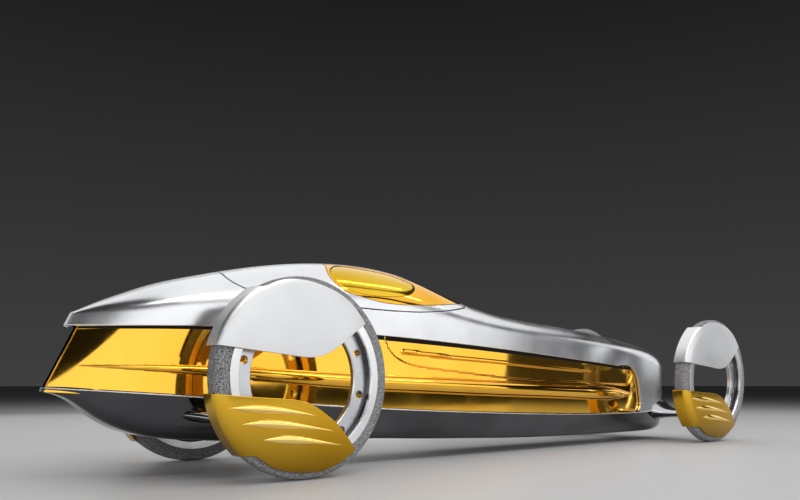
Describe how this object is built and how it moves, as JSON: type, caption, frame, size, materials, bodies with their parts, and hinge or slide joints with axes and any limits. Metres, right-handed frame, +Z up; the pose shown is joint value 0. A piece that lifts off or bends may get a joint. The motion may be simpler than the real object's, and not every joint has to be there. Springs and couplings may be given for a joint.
{
  "type": "concept car",
  "caption": "Single-seat streamliner concept car with a tapered tail, long nose, opening canopy hatch and steered hubless wheels with fixed covers.",
  "frame": {"origin": "on the ground, under the middle of the car's overall length and width", "axes": "+X forward to the nose, +Y to the car's left, +Z up"},
  "size_m": [4.9718, 1.3178, 1.0759],
  "materials": {
    "silver_satin": "satin silver, fine metallic",
    "gold_polish": "polished gold",
    "hull_polish": "dark polished metal",
    "canopy_gold": "gold tinted, mirror gloss",
    "window_gold": "gold tinted glass, satin",
    "tyre_rubber": "granular tread and walls",
    "rim_bright": "bright satin",
    "stator_metal": "machined satin",
    "cover_silver": "satin silver",
    "cover_gold": "satin gold",
    "arm_silver": "polished",
    "steel": "machined",
    "leather": "black leather",
    "cabin_trim": "fine grained"
  },
  "bodies": {
    "chassis": {"upper_shell": "silver_satin", "hull": "hull_polish", "tail_strip": "gold_polish", "side_panel_left": "gold_polish", "side_panel_right": "gold_polish", "hinge_bracket": "steel", "rear_bulkhead": "cabin_trim", "seat_shell": "cabin_trim", "seat_cushion": "leather", "dashboard": "cabin_trim", "steering_column": "steel", "steering_wheel": "cabin_trim", "pedal_bulkhead": "cabin_trim", "power_unit": "stator_metal", "arm_rl": "arm_silver", "arm_rr": "arm_silver", "arm_fl": "arm_silver", "arm_fr": "arm_silver", "stator_ring_rl": "stator_metal", "stator_ring_rr": "stator_metal", "top_cover_rl": "cover_silver", "top_cover_rr": "cover_silver", "lower_cover_rl": "cover_gold", "lower_cover_rr": "cover_gold"},
    "hatch": {"hatch_shell": "silver_satin", "canopy": "canopy_gold", "canopy_window_left": "window_gold", "canopy_window_right": "window_gold"},
    "knuckle_fl": {"stator_ring_fl": "stator_metal", "kingpin_fl": "steel", "top_cover_fl": "cover_silver", "lower_cover_fl": "cover_gold"},
    "knuckle_fr": {"stator_ring_fr": "stator_metal", "kingpin_fr": "steel", "top_cover_fr": "cover_silver", "lower_cover_fr": "cover_gold"},
    "wheel_rl": {"tyre_rl": "tyre_rubber", "rim_rl": "rim_bright"},
    "wheel_rr": {"tyre_rr": "tyre_rubber", "rim_rr": "rim_bright"},
    "wheel_fl": {"tyre_fl": "tyre_rubber", "rim_fl": "rim_bright"},
    "wheel_fr": {"tyre_fr": "tyre_rubber", "rim_fr": "rim_bright"}
  },
  "joints": [
    {"name": "hatch_hinge", "type": "hinge", "parent": "chassis", "child": "hatch", "pos_m": [-0.05796, 0, 0.914], "axis": [0, 1, 0], "range_deg": [0, 55]},
    {"name": "steer_fl", "type": "hinge", "parent": "chassis", "child": "knuckle_fl", "pos_m": [2.03594, 0.573, 0.213], "axis": [0, 0, 1], "range_deg": [-28, 28]},
    {"name": "steer_fr", "type": "hinge", "parent": "chassis", "child": "knuckle_fr", "pos_m": [2.03594, -0.573, 0.213], "axis": [0, 0, 1], "range_deg": [-28, 28]},
    {"name": "spin_rl", "type": "hinge", "parent": "chassis", "child": "wheel_rl", "pos_m": [-1.54606, 0.573, 0.45], "axis": [0, 1, 0], "continuous": true},
    {"name": "spin_rr", "type": "hinge", "parent": "chassis", "child": "wheel_rr", "pos_m": [-1.54606, -0.573, 0.45], "axis": [0, 1, 0], "continuous": true},
    {"name": "spin_fl", "type": "hinge", "parent": "knuckle_fl", "child": "wheel_fl", "pos_m": [2.03594, 0.573, 0.45], "axis": [0, 1, 0], "continuous": true},
    {"name": "spin_fr", "type": "hinge", "parent": "knuckle_fr", "child": "wheel_fr", "pos_m": [2.03594, -0.573, 0.45], "axis": [0, 1, 0], "continuous": true}
  ],
  "couplings": [
    {"joint": "steer_fr", "follows": "steer_fl", "ratio": 1}
  ]
}
